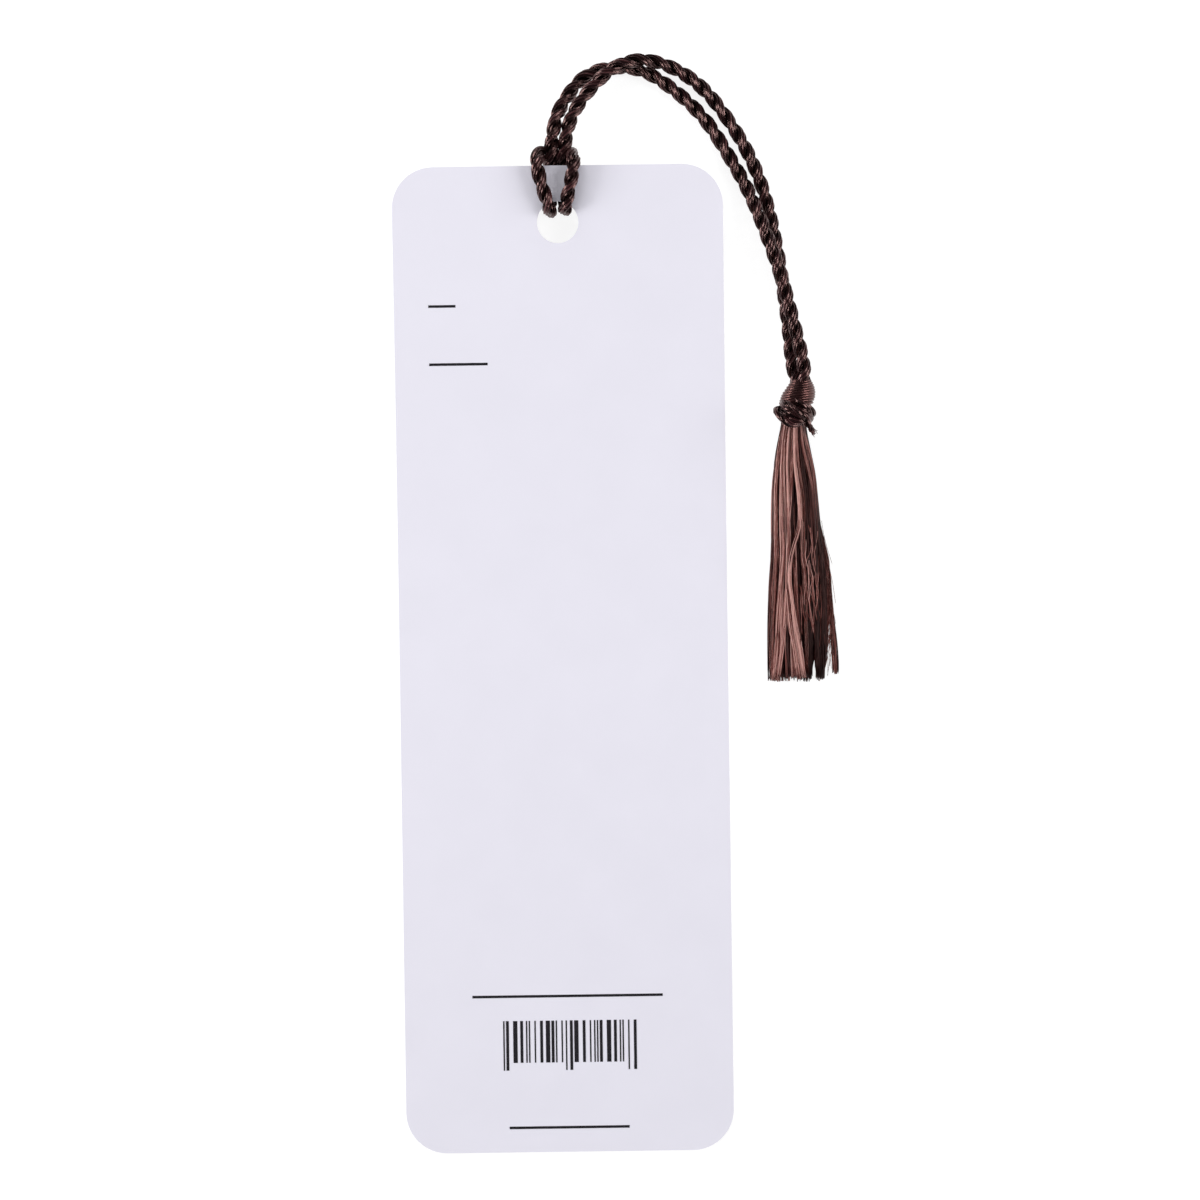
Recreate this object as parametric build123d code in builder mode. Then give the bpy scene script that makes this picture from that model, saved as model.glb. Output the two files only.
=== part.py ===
from build123d import *
import os
from math import cos, pi, radians, sin, sqrt, tan

# A card bookmark lying on a table, with a doubled cord hitched through its hole and a floss tassel.
# All lengths are in millimetres. +X is the card's right, +Y runs to the hole's end and +Z is up.
# The origin is on the table, in the middle of the card's underside.

# Card
card_width = 50.8
card_length = 152.4
card_thickness = 0.4
corner_radius = 6.35
hole_diameter = 6.35
hole_inset = 8.65
lift_length = 74.0
lift_slack = 1.9

# Cord and hitch
cord_diameter = 2.1
cord_clearance = 0.15
face_gap = 0.2
edge_gap = 0.9
dive_offset = 0.35
under_inset = 0.75
exit_run = 2.3
exit_lead = 2.1
exit_angle = 10.0
joint_gap = 0.3
rest_gap = 0.05

# Tassel head and neck
tassel_gap = 11.0
tassel_drop = 35.55
head_radius = 2.25
neck_radius = 1.7
leg_end_spacing = 1.5
leg_end_rise = 1.7
leg_end_run = 4.2

# Neck tie
tie_diameter = 1.15
tie_clearance = 0.15
tie_gap = 0.45
tie_offset = 2.0
tie_quarter_turns = 7
tail_bend_radius = 1.3
tail_bend_angle = 60.0
tail_length = 1.8

# Skirt, cut into locks of thread that spread and part towards their ends
skirt_offset = 5.5
skirt_length = 38.5
skirt_raggedness = 2.4
collar_length = 0.6
lock_columns = 9
lock_layers = 3
skirt_half_widths = (1.7, 2.95, 4.2, 5.45)
skirt_heights = (3.2, 3.9, 3.0, 2.2)
skirt_station_shares = (0, 0.12, 0.46, 1)
lock_fill_share = 0.86
lock_end_shares = (-0.82, -0.62, -0.42, -0.21, -0.01, 0.19, 0.48, 0.66, 0.95)
lock_ragged_shares = (0.3, 0, 0.55, 0.2, 0.7, 0.1, 0.45, 0, 0.35)

# Route of the two legs, chosen by hand along the cord as it lies. Each point is measured from the
# right end of the top edge: x outwards, y away from the card and z up from the table.
left_leg_route = (
    (-25.05, 9.5, 2.6),
    (-21.8, 14.2, 1.35),
    (-17.1, 15.8, 1.1),
    (-12.0, 14.7, 1.1),
    (-6.9, 11.25, 1.1),
    (-2.6, 6.85, 1.1),
    (0.6, 1.65, 1.15),
    (3.4, -3.3, 1.65),
    (5.45, -7.6, 2.8),
    (6.9, -11.7, 3.35),
    (8.6, -16.6, 3.4),
    (9.9, -21.5, 3.4),
    (11.1, -26.4, 3.6),
)
right_leg_route = (
    (-22.4, 9.5, 3.2),
    (-19.8, 12.8, 3.25),
    (-16.5, 15.5, 3.6),
    (-12.2, 16.35, 3.2),
    (-7.2, 15.15, 1.4),
    (-2.8, 12.15, 1.1),
    (0.7, 7.65, 1.1),
    (3.7, 2.75, 1.1),
    (5.8, -2.5, 1.1),
    (7.2, -7.9, 1.1),
    (8.1, -12.9, 1.1),
    (8.9, -17.9, 1.1),
    (9.5, -22.9, 1.15),
    (10.1, -27.3, 1.6),
)
bend_share = 0.45
path_steps = 400

os.makedirs("parts", exist_ok=True)


def bend_radii(points):
    """Return the largest tangent arc that each inner point of a route leaves room for."""
    radii = []
    for before, here, after in zip(points, points[1:], points[2:]):
        run_in = Vector(here) - Vector(before)
        run_out = Vector(after) - Vector(here)
        half_turn = radians(run_in.get_angle(run_out)) / 2
        radii.append(bend_share * min(run_in.length, run_out.length) / tan(half_turn))
    return radii


def sample(wire):
    """Return evenly spaced points along a wire."""
    return wire.positions([step / path_steps for step in range(path_steps + 1)])


def least_distance(wire, other):
    """Return the shortest distance between the points of two wires."""
    points = sample(wire)
    others = sample(other)
    return min((here - there).length for here in points for there in others)


def self_gap(wire, diameter):
    """Return the least gap in one tube between stretches over half a turn apart along it."""
    points = sample(wire)
    apart = int(path_steps * pi * diameter / wire.length)
    spans = [
        (point - other).length
        for index, point in enumerate(points)
        for other in points[index + apart :]
    ]
    return min(spans) - diameter


def print_tube(name, part, wire, diameter, radii):
    """Print a tube's length, its radii and how its volume compares with section times length."""
    expected = pi * diameter**2 / 4 * wire.length
    print(f"{name}: length {wire.length:.2f}, volume ratio {part.volume / expected:.4f}")
    print(f"{name}: radii {[round(radius, 2) for radius in radii]}")


# The flat end and the lifted end of the card, which the cord under it holds up
cord_radius = cord_diameter / 2
hole_radius = hole_diameter / 2
lift_angle = 2 * (cord_diameter + lift_slack) / lift_length
lift_radius = lift_length / lift_angle
flat_length = card_length - lift_length
bottom_y = -(flat_length + lift_radius * sin(lift_angle)) / 2
bend_y = bottom_y + flat_length


def sheet_point(inset, height):
    """Return a point by its distance from the top edge along the sheet and above its underside."""
    angle = lift_angle - inset / lift_radius
    reach = lift_radius - height
    return Vector(0, bend_y + reach * sin(angle), lift_radius - reach * cos(angle))


def sheet_normal(inset):
    """Return the upward normal of the lifted sheet at a distance from the top edge."""
    angle = lift_angle - inset / lift_radius
    return Vector(0, -sin(angle), cos(angle))


# Card: the profile of the bent sheet, drawn across its width, with rounded corners and a hole
lower_edge = sheet_point(0, 0)
upper_edge = sheet_point(0, card_thickness)
hole_plane = Plane(sheet_point(hole_inset, 0), x_dir=(1, 0, 0), z_dir=sheet_normal(hole_inset))
with BuildPart() as card:
    with BuildSketch(Plane.YZ):
        with BuildLine():
            Line((bottom_y, 0), (bend_y, 0))
            TangentArc((bend_y, 0), (lower_edge.Y, lower_edge.Z), tangent=(1, 0))
            Line((lower_edge.Y, lower_edge.Z), (upper_edge.Y, upper_edge.Z))
            TangentArc((bend_y, card_thickness), (upper_edge.Y, upper_edge.Z), tangent=(1, 0))
            Polyline((bend_y, card_thickness), (bottom_y, card_thickness), (bottom_y, 0))
        make_face()
    extrude(amount=card_width / 2, both=True)
    fillet(card.edges().group_by(SortBy.LENGTH)[0], radius=corner_radius)
    with Locations(hole_plane):
        Hole(radius=hole_radius)
card.part.label = "card"
export_step(card.part, "parts/card.step")

# Places of the hitch, where the cord goes over its own bar, under the card's edge and up the hole
edge_y = lower_edge.Y
leg_x = (cord_diameter + cord_clearance) / 2
loop_x = leg_x + (cord_diameter + cord_clearance) / cos(radians(exit_angle))
bar_y = edge_y + edge_gap + cord_radius
bar_z = cord_radius + rest_gap
over_z = bar_z + cord_diameter + 3 * cord_clearance
strand_height = face_gap + cord_radius
strand_inset = hole_inset - sqrt((hole_radius - cord_radius - cord_clearance) ** 2 - leg_x**2)
hole_low = sheet_point(strand_inset, -strand_height)
hole_high = sheet_point(strand_inset, card_thickness + strand_height)
loop_top = sheet_point(edge_y - bar_y, card_thickness + strand_height)
exit_direction = Vector(sin(radians(exit_angle)), cos(radians(exit_angle)), 0)
exit_across = Vector(cos(radians(exit_angle)), -sin(radians(exit_angle)), 0)
exit_centre = Vector(0, bar_y, over_z) + exit_direction * exit_run


def leg_exit(side):
    """Return the middle of the face in which the left (-1) or right (1) leg leaves the hitch."""
    return exit_centre + exit_across * (side * leg_x)


def hitch_half(side):
    """Return the corners from a leg's end to the bar, on the left (-1) or the right (1)."""
    leg_end = leg_exit(side)
    dive_run = (leg_end.Y - bar_y + dive_offset) / exit_direction.Y
    return [
        leg_end,
        leg_end - exit_direction * dive_run,
        (side * leg_x, edge_y - under_inset, hole_low.Z),
        (side * leg_x, hole_low.Y, hole_low.Z),
        (side * leg_x, hole_high.Y, hole_high.Z),
        (side * loop_x, bar_y, loop_top.Z),
        (side * loop_x, bar_y, bar_z),
    ]


# Hitch: one unbroken length of cord, from one leg's end round the card and its bar to the other's
hitch_points = hitch_half(-1) + hitch_half(1)[::-1]
hitch_radii = bend_radii(hitch_points)
with BuildPart() as cord_hitch:
    with BuildLine() as hitch_path:
        FilletPolyline(hitch_points, radius=hitch_radii)
    with BuildSketch(Plane(hitch_path.wire() @ 0, z_dir=hitch_path.wire() % 0)):
        Circle(cord_radius)
    sweep()
cord_hitch.part.label = "cord_hitch"
export_step(cord_hitch.part, "parts/cord_hitch.step")
print_tube("cord_hitch", cord_hitch.part, hitch_path.wire(), cord_diameter, hitch_radii)
print(f"cord_hitch: least gap to itself {self_gap(hitch_path.wire(), cord_diameter):.2f}")

# Places of the tassel, which lies beside the card with its axis along -Y
tie_coil_radius = neck_radius + tie_clearance + tie_diameter / 2
tassel_x = card_width / 2 + tassel_gap
tassel_y = edge_y - tassel_drop
tassel_z = tie_coil_radius + tie_diameter / 2 + rest_gap
tassel_centre = (tassel_x, tassel_y, tassel_z)


def leg_points(side, route):
    """Return a leg's route from its end at the hitch to the middle of the tassel's head."""
    start = leg_exit(side) + exit_direction * joint_gap
    end_x = tassel_x - side * leg_end_spacing / 2
    end_z = tassel_z - side * leg_end_rise / 2
    lead = [start, start + exit_direction * exit_lead]
    middle = [(card_width / 2 + x, edge_y + y, z) for x, y, z in route]
    tail = [(end_x, tassel_y + leg_end_run, end_z), (end_x, tassel_y, end_z)]
    return lead + middle + tail


# Legs: two free stretches that cross twice and end at the round head
leg_wires = []
for name, side, route in (("left", -1, left_leg_route), ("right", 1, right_leg_route)):
    points = leg_points(side, route)
    radii = bend_radii(points)
    with BuildPart() as cord_leg:
        with BuildLine() as leg_path:
            FilletPolyline(points, radius=radii)
        with BuildSketch(Plane(leg_path.wire() @ 0, z_dir=leg_path.wire() % 0)):
            Circle(cord_radius)
        sweep()
        print_tube(f"cord_leg_{name}", cord_leg.part, leg_path.wire(), cord_diameter, radii)
        with Locations(tassel_centre):
            Sphere(head_radius + joint_gap, mode=Mode.SUBTRACT)
    cord_leg.part.label = f"cord_leg_{name}"
    export_step(cord_leg.part, f"parts/cord_leg_{name}.step")
    leg_wires.append(leg_path.wire())
print(f"cord legs: least gap between them {least_distance(*leg_wires) - cord_diameter:.2f}")

# Head: the folded end of the floss, round above and drawn in to the neck under the tie
neck_start = sqrt(head_radius**2 - neck_radius**2)
head_plane = Plane(tassel_centre, x_dir=(1, 0, 0), z_dir=(0, 0, 1))
with BuildPart() as tassel_head:
    with BuildSketch(head_plane):
        with BuildLine():
            ThreePointArc((0, head_radius), (head_radius, 0), (neck_radius, -neck_start))
            Polyline(
                (neck_radius, -neck_start),
                (neck_radius, -skirt_offset),
                (0, -skirt_offset),
                (0, head_radius),
            )
        make_face()
    revolve(axis=Axis(tassel_centre, (0, 1, 0)))
tassel_head.part.label = "tassel_head"
export_step(tassel_head.part, "parts/tassel_head.step")

# Neck tie: a thinner strand wound down the neck, from a short end at the right to a tail on top
tie_pitch = tie_diameter + tie_gap
tie_rise = tie_pitch / (2 * pi)


def coil_point(quarter):
    """Return the place and the direction of the coil, counted in quarter turns from its right side."""
    angle = -quarter * pi / 2
    place = Vector(
        tassel_x + tie_coil_radius * cos(angle),
        tassel_y - tie_offset + tie_rise * angle,
        tassel_z + tie_coil_radius * sin(angle),
    )
    direction = Vector(tie_coil_radius * sin(angle), -tie_rise, -tie_coil_radius * cos(angle))
    return place, direction.normalized()


def biarc_middle(start, start_tangent, end, end_tangent):
    """Return the point where two tangent arcs between two places meet."""
    chord = end - start
    tangents = start_tangent + end_tangent
    spread = 2 * (1 - start_tangent.dot(end_tangent))
    along = chord.dot(tangents)
    handle = (sqrt(along**2 + spread * chord.dot(chord)) - along) / spread
    return (start + end + (start_tangent - end_tangent) * handle) / 2


with BuildPart() as neck_tie:
    with BuildLine() as tie_path:
        start, start_tangent = coil_point(0)
        Line(start - start_tangent * tie_diameter, start)
        for quarter in range(1, tie_quarter_turns + 1):
            end, end_tangent = coil_point(quarter)
            middle = biarc_middle(start, start_tangent, end, end_tangent)
            first_arc = TangentArc(start, middle, tangent=start_tangent)
            TangentArc(middle, end, tangent=first_arc % 1)
            start, start_tangent = end, end_tangent
        down = Vector(0, -1, 0)
        across = (down - start_tangent * down.dot(start_tangent)).normalized()
        bend = radians(tail_bend_angle)
        turned = start_tangent * sin(bend) + across * (1 - cos(bend))
        tail_start = start + turned * tail_bend_radius
        tail_arc = TangentArc(start, tail_start, tangent=start_tangent)
        Line(tail_start, tail_start + (tail_arc % 1) * tail_length)
    with BuildSketch(Plane(tie_path.wire() @ 0, z_dir=tie_path.wire() % 0)):
        Circle(tie_diameter / 2)
    sweep()
neck_tie.part.label = "neck_tie"
export_step(neck_tie.part, "parts/neck_tie.step")
print_tube("neck_tie", neck_tie.part, tie_path.wire(), tie_diameter, [tie_coil_radius, tail_bend_radius])
print(f"neck_tie: least gap to itself {self_gap(tie_path.wire(), tie_diameter):.2f}")

# Skirt: locks of thread in layers, which spread from a collar at the neck and sink to the table
skirt_top = tassel_y - skirt_offset


def skirt_plane(station, distance):
    """Return the section plane of the skirt at a distance below its top, centred on its locks."""
    lying_z = skirt_heights[station] / 2 + rest_gap
    height = tassel_z if station == 0 else lying_z
    return Plane((tassel_x, skirt_top - distance, height), x_dir=(1, 0, 0), z_dir=(0, -1, 0))


def lock_section(column, layer, station):
    """Return the place and the size of one lock's section at one station of the skirt."""
    last = station == len(skirt_station_shares) - 1
    even_share = (2 * column + 1) / lock_columns - 1
    place_share = lock_end_shares[column] if last else even_share
    cell_width = 2 * skirt_half_widths[station] / lock_columns
    cell_height = skirt_heights[station] / lock_layers
    place = (skirt_half_widths[station] * place_share, cell_height * (layer - (lock_layers - 1) / 2))
    return place, (cell_width * lock_fill_share, cell_height * lock_fill_share)


locks = []
for layer in range(lock_layers):
    for column in range(lock_columns):
        ragged = skirt_raggedness * lock_ragged_shares[(column + lock_layers * layer) % lock_columns]
        with BuildPart() as lock:
            for station, share in enumerate(skirt_station_shares):
                distance = share * (skirt_length - ragged)
                place, size = lock_section(column, layer, station)
                with BuildSketch(skirt_plane(station, distance)):
                    with Locations(place):
                        Rectangle(*size)
            loft(ruled=True)
        locks.append(lock.part)
with BuildPart() as tassel_skirt:
    with BuildSketch(skirt_plane(0, 0)):
        Rectangle(2 * skirt_half_widths[0], skirt_heights[0])
    extrude(amount=collar_length)
    add(locks)
tassel_skirt.part.label = "tassel_skirt"
export_step(tassel_skirt.part, "parts/tassel_skirt.step")
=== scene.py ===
from math import asin, cos, pi, radians, sin, tau

import bpy
import numpy as np
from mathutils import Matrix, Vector


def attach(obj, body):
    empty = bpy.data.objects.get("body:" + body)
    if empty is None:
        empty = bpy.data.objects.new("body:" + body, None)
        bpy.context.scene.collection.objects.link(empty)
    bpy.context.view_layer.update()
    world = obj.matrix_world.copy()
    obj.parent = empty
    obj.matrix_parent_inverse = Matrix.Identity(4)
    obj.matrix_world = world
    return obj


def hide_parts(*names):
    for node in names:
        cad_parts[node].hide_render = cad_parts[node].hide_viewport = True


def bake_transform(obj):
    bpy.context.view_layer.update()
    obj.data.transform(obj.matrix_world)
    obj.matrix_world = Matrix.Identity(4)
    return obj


# A card bookmark on a white table, seen from straight above. Its doubled twisted cord is hitched through
# the hole, lies in an arch beside the card and ends in a floss tassel. Lengths are in millimetres, and mm
# turns them to metres.
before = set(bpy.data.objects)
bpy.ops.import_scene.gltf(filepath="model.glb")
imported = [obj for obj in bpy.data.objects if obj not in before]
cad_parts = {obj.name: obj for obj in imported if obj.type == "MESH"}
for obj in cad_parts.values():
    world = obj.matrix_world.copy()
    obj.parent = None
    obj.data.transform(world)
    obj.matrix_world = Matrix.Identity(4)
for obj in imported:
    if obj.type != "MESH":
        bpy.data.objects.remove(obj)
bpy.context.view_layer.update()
scene = bpy.context.scene
scene.view_settings.view_transform = "Standard"
chance = np.random.default_rng(11)
mm = 0.001

# Card, as in the CAD: flat up to bend_y, then rising on a wide arc towards the hole
card_thickness = 0.4
bend_y = 2.272
lift_radius = 684.5

# Cord: the CAD's routes, with some points moved a little to lie as in the photograph. The hitch runs from
# the left leg under the card, up the hole, round its own bar and back the same way to the right leg.
cord_radius = 1.12
cord_lay = 5.8
hitch_route = (
    (-0.64, 80.538, 3.65),
    (-1.03, 77.4, 3.6),
    (-1.125, 75.4, 2.1),
    (-1.125, 69.26, 2.0),
    (-1.125, 68.98, 4.92),
    (-3.1, 75.5, 6.0),
    (-2.85, 77.95, 5.2),
    (-1.85, 78.3, 1.5),
    (0.0, 78.15, 1.12),
    (1.75, 78.15, 1.5),
    (2.55, 77.75, 5.2),
    (2.6, 75.5, 6.0),
    (1.125, 69.35, 4.92),
    (1.125, 69.45, 2.0),
    (1.125, 75.4, 2.1),
    (0.88, 77.4, 3.6),
    (1.43, 80.148, 3.65),
)
left_leg_route = (
    (-0.64, 80.538, 3.65),
    (-0.2, 82.88, 3.62),
    (0.7, 85.38, 2.5),
    (3.9, 90.0, 1.3),
    (8.3, 91.55, 1.1),
    (13.42, 91.13, 1.1),
    (18.7, 87.55, 1.1),
    (23.1, 83.2, 1.1),
    (26.3, 77.95, 1.15),
    (29.05, 72.95, 1.65),
    (30.85, 68.528, 2.8),
    (32.3, 64.428, 3.35),
    (34.0, 59.528, 3.4),
    (35.3, 54.628, 3.4),
    (36.5, 49.728, 3.6),
    (37.5, 45.2, 3.95),
    (37.55, 42.6, 3.9),
    (37.15, 40.578, 3.6),
)
right_leg_route = (
    (1.43, 80.148, 3.65),
    (1.74, 82.2, 3.65),
    (3.33, 85.5, 3.35),
    (5.95, 88.65, 3.3),
    (9.1, 91.3, 3.6),
    (13.2, 92.478, 3.2),
    (18.2, 91.278, 1.4),
    (22.6, 88.278, 1.1),
    (26.1, 83.778, 1.1),
    (29.1, 78.878, 1.1),
    (31.35, 73.65, 1.1),
    (32.8, 68.25, 1.1),
    (33.75, 63.25, 1.1),
    (34.5, 58.2, 1.1),
    (35.1, 53.2, 1.15),
    (35.5, 48.828, 1.6),
    (35.75, 45.4, 2.1),
    (36.4, 42.8, 2.4),
    (36.6, 40.578, 2.5),
)

# Tassel, as in the CAD: its axis runs along -Y from the middle of the head, and reach is measured on it
head_x, head_y, head_z = 36.4, 40.578, 3.05


def linear(code):
    """Return an sRGB hex colour as linear RGBA."""
    shares = [int(code[place : place + 2], 16) / 255 for place in (1, 3, 5)]
    return [c / 12.92 if c <= 0.04045 else ((c + 0.055) / 1.055) ** 2.4 for c in shares] + [1]


def add_node(tree, kind, links=None, sockets=None, stops=(), **settings):
    """Add a node with its settings, socket values, colour stops and the outputs that are linked to it."""
    node = tree.nodes.new(kind)
    for name, value in settings.items():
        setattr(node, name, value)
    for name, value in (sockets or {}).items():
        node.inputs[name].default_value = value
    for number, (place, code) in enumerate(stops):
        elements = node.color_ramp.elements
        element = elements[number] if number < len(elements) else elements.new(place)
        element.position = place
        element.color = linear(code)
    for name, output in (links or {}).items():
        tree.links.new(output, node.inputs[name])
    return node


def new_material(name):
    """Return an empty node material, its tree and its output node."""
    material = bpy.data.materials.new(name)
    material.use_nodes = True
    tree = material.node_tree
    tree.nodes.clear()
    return material, tree, tree.nodes.new("ShaderNodeOutputMaterial")


def per_metre(size):
    """Return the scale of a pattern on object coordinates whose features measure this many millimetres."""
    return 1 / (size * mm)


def coated_card_material():
    """Coated card: bleached pulp under a calendered clay coat, cut with a die."""
    # The coat gives a smooth, nearly even, faintly violet white with a soft sheen. Its formation shows as
    # clouds some millimetres wide, the calender leaves a fine orange peel, and the cut edge shows fibres.
    cloud_size, peel_size, peel_depth, fibre_size = 9, 0.7, 0.012, 0.25
    steepest_face = 0.7
    material, tree, output = new_material("coated_card")
    place = add_node(tree, "ShaderNodeTexCoord").outputs["Object"]
    clouds = add_node(
        tree, "ShaderNodeTexNoise", {"Vector": place}, {"Scale": per_metre(cloud_size), "Detail": 4}
    )
    tint = add_node(
        tree, "ShaderNodeValToRGB", {"Fac": clouds.outputs["Fac"]}, stops=((0.3, "#e7e5f0"), (0.7, "#e9e7f2"))
    )
    fibres = add_node(
        tree,
        "ShaderNodeTexNoise",
        {"Vector": place},
        {"Scale": per_metre(fibre_size), "Detail": 5, "Roughness": 0.7},
    )
    core = add_node(
        tree, "ShaderNodeValToRGB", {"Fac": fibres.outputs["Fac"]}, stops=((0.3, "#cfccd6"), (0.7, "#f1eff5"))
    )
    normal = add_node(tree, "ShaderNodeNewGeometry").outputs["Normal"]
    upward = add_node(tree, "ShaderNodeSeparateXYZ", {"Vector": normal}).outputs["Z"]
    level = add_node(tree, "ShaderNodeMath", {0: upward}, operation="ABSOLUTE").outputs["Value"]
    face = add_node(
        tree, "ShaderNodeMath", {0: level}, {1: steepest_face}, operation="GREATER_THAN"
    ).outputs["Value"]
    # The mix node's two colours are its inputs 6 and 7, and the mixed one is its output 2
    colour = add_node(
        tree,
        "ShaderNodeMix",
        {0: face, 6: core.outputs["Color"], 7: tint.outputs["Color"]},
        data_type="RGBA",
    ).outputs[2]
    peel = add_node(
        tree, "ShaderNodeTexNoise", {"Vector": place}, {"Scale": per_metre(peel_size), "Detail": 3}
    )
    bump = add_node(
        tree,
        "ShaderNodeBump",
        {"Height": peel.outputs["Fac"]},
        {"Strength": 0.2, "Distance": peel_depth * mm},
    )
    gloss = add_node(
        tree, "ShaderNodeMapRange", {"Value": clouds.outputs["Fac"]}, {"To Min": 0.42, "To Max": 0.5}
    )
    shader = add_node(
        tree,
        "ShaderNodeBsdfPrincipled",
        {"Base Color": colour, "Roughness": gloss.outputs["Result"], "Normal": bump.outputs["Normal"]},
        {"IOR": 1.5, "Specular IOR Level": 0.35},
    )
    tree.links.new(shader.outputs["BSDF"], output.inputs["Surface"])
    return material


def printing_ink_material():
    """Offset printing ink: a thin black film that has sunk into the coat."""
    # It is a soft black with a little less sheen than the card, and thins out in tiny specks.
    speck_size = 0.2
    material, tree, output = new_material("printing_ink")
    place = add_node(tree, "ShaderNodeTexCoord").outputs["Object"]
    specks = add_node(
        tree, "ShaderNodeTexNoise", {"Vector": place}, {"Scale": per_metre(speck_size), "Detail": 2}
    )
    tint = add_node(
        tree,
        "ShaderNodeValToRGB",
        {"Fac": specks.outputs["Fac"]},
        stops=((0.35, "#141216"), (0.75, "#2a272e")),
    )
    shader = add_node(
        tree,
        "ShaderNodeBsdfPrincipled",
        {"Base Color": tint.outputs["Color"]},
        {"Roughness": 0.55, "IOR": 1.5, "Specular IOR Level": 0.3},
    )
    tree.links.new(shader.outputs["BSDF"], output.inputs["Surface"])
    return material


def rayon_material(name, stops, roughness, shine, glint, fleck, ior=1.54):
    """Rayon filament yarn, spun smooth and twisted or laid in a hank."""
    # Each yarn is a bundle of parallel bright filaments. Along it they give long fine streaks, 0.07 mm wide
    # here so that they show, flecks a millimetre long where its twist turns filaments in and out, and a
    # tinted gloss on the crests. The tone the pieces carry also darkens the grooves where the yarns meet:
    # painted shade.
    streaks_along, streak_width, streak_tone, streak_depth = 0.22, 0.07, 0.2, 0.04
    fleck_length, fleck_width = 1.1, 0.2
    material, tree, output = new_material(name)
    around = add_node(tree, "ShaderNodeUVMap", uv_map="yarn").outputs["UV"]
    stretched = add_node(
        tree, "ShaderNodeMapping", {"Vector": around}, {"Scale": (streaks_along, 1 / streak_width, 1)}
    ).outputs["Vector"]
    streaks = add_node(tree, "ShaderNodeTexNoise", {"Vector": stretched}, {"Scale": 1, "Detail": 2})
    tone = add_node(tree, "ShaderNodeAttribute", attribute_name="tone").outputs["Fac"]
    share = add_node(
        tree,
        "ShaderNodeMapRange",
        {"Value": streaks.outputs["Fac"]},
        {"To Min": -streak_tone, "To Max": streak_tone},
    )
    streaked = add_node(tree, "ShaderNodeMath", {0: tone, 1: share.outputs["Result"]}, operation="ADD")
    turned = add_node(
        tree, "ShaderNodeMapping", {"Vector": around}, {"Scale": (1 / fleck_length, 1 / fleck_width, 1)}
    ).outputs["Vector"]
    flecks = add_node(
        tree, "ShaderNodeTexNoise", {"Vector": turned}, {"Scale": 1, "Detail": 3, "Roughness": 0.6}
    )
    fleck_share = add_node(
        tree, "ShaderNodeMapRange", {"Value": flecks.outputs["Fac"]}, {"To Min": -fleck, "To Max": fleck}
    )
    flecked = add_node(
        tree,
        "ShaderNodeMath",
        {0: streaked.outputs["Value"], 1: fleck_share.outputs["Result"]},
        operation="ADD",
    )
    tint = add_node(tree, "ShaderNodeValToRGB", {"Fac": flecked.outputs["Value"]}, stops=stops)
    bump = add_node(
        tree,
        "ShaderNodeBump",
        {"Height": streaks.outputs["Fac"]},
        {"Strength": 0.5, "Distance": streak_depth * mm},
    )
    shader = add_node(
        tree,
        "ShaderNodeBsdfPrincipled",
        {"Base Color": tint.outputs["Color"], "Normal": bump.outputs["Normal"]},
        {"Roughness": roughness, "IOR": ior, "Specular IOR Level": shine, "Specular Tint": linear(glint)},
    )
    tree.links.new(shader.outputs["BSDF"], output.inputs["Surface"])
    return material


def white_table_material():
    """White laminate table, which throws light up at the object."""
    # To the camera it is white, and keeps a soft pale shadow.
    grain_size = 2
    material, tree, output = new_material("white_table")
    place = add_node(tree, "ShaderNodeTexCoord").outputs["Object"]
    grain = add_node(
        tree, "ShaderNodeTexNoise", {"Vector": place}, {"Scale": per_metre(grain_size), "Detail": 2}
    )
    tint = add_node(
        tree, "ShaderNodeValToRGB", {"Fac": grain.outputs["Fac"]}, stops=((0, "#f4f4f4"), (1, "#f8f8f8"))
    )
    seen_tint = add_node(
        tree, "ShaderNodeValToRGB", {"Fac": grain.outputs["Fac"]}, stops=((0, "#868686"), (1, "#898989"))
    )
    plain = add_node(tree, "ShaderNodeBsdfDiffuse", {"Color": tint.outputs["Color"]})
    shaded = add_node(tree, "ShaderNodeBsdfDiffuse", {"Color": seen_tint.outputs["Color"]})
    glow = add_node(tree, "ShaderNodeEmission", None, {"Strength": 0.87})
    seen = add_node(tree, "ShaderNodeAddShader", {0: shaded.outputs["BSDF"], 1: glow.outputs["Emission"]})
    rays = add_node(tree, "ShaderNodeLightPath").outputs
    direct = add_node(
        tree, "ShaderNodeMath", {0: rays["Is Camera Ray"], 1: rays["Is Glossy Ray"]}, operation="MAXIMUM"
    ).outputs["Value"]
    clear = add_node(
        tree, "ShaderNodeMath", {0: direct, 1: rays["Is Transmission Ray"]}, operation="MAXIMUM"
    ).outputs["Value"]
    shader = add_node(
        tree, "ShaderNodeMixShader", {0: clear, 1: plain.outputs["BSDF"], 2: seen.outputs["Shader"]}
    )
    tree.links.new(shader.outputs["Shader"], output.inputs["Surface"])
    return material


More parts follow.
